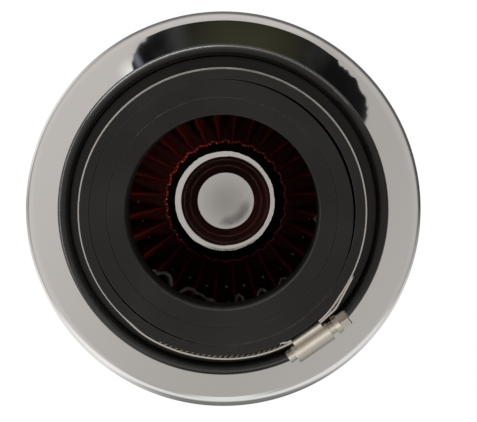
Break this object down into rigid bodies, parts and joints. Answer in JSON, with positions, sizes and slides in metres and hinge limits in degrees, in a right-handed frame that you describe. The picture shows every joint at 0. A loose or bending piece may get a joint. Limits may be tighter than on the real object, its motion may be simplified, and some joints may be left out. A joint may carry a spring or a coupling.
{
  "type": "cone air filter",
  "caption": "Cone air filter with red pleated gauze, a chromed end cap and trim ring, and a black rubber neck with reducer sleeves and a worm-drive clamp.",
  "frame": {"origin": "bottom centre of the end cap, on the filter's axis", "axes": "+Z along the filter's axis towards the open neck, with the clamp's housing between +X and -Y"},
  "size_m": [0.16, 0.16, 0.17],
  "materials": {
    "black_rubber": "matte moulded",
    "chrome": "polished chrome plate",
    "red_gauze": "oiled cotton gauze behind coated wire screen",
    "potting": "cast, satin",
    "stainless": "bright rolled stainless"
  },
  "bodies": {
    "filter": {"neck_base": "black_rubber", "large_reducer": "black_rubber", "small_reducer": "black_rubber", "trim_ring": "chrome", "pleated_media": "red_gauze", "end_potting": "potting", "end_cap": "chrome", "clamp_band": "stainless", "clamp_housing": "stainless"},
    "screw": {"clamp_screw": "stainless"}
  },
  "joints": [
    {"name": "screw_turn", "type": "hinge", "parent": "filter", "child": "screw", "pos_m": [0.03517, -0.05118, 0.15865], "axis": [0.8241, 0.5664, 0], "continuous": true}
  ]
}
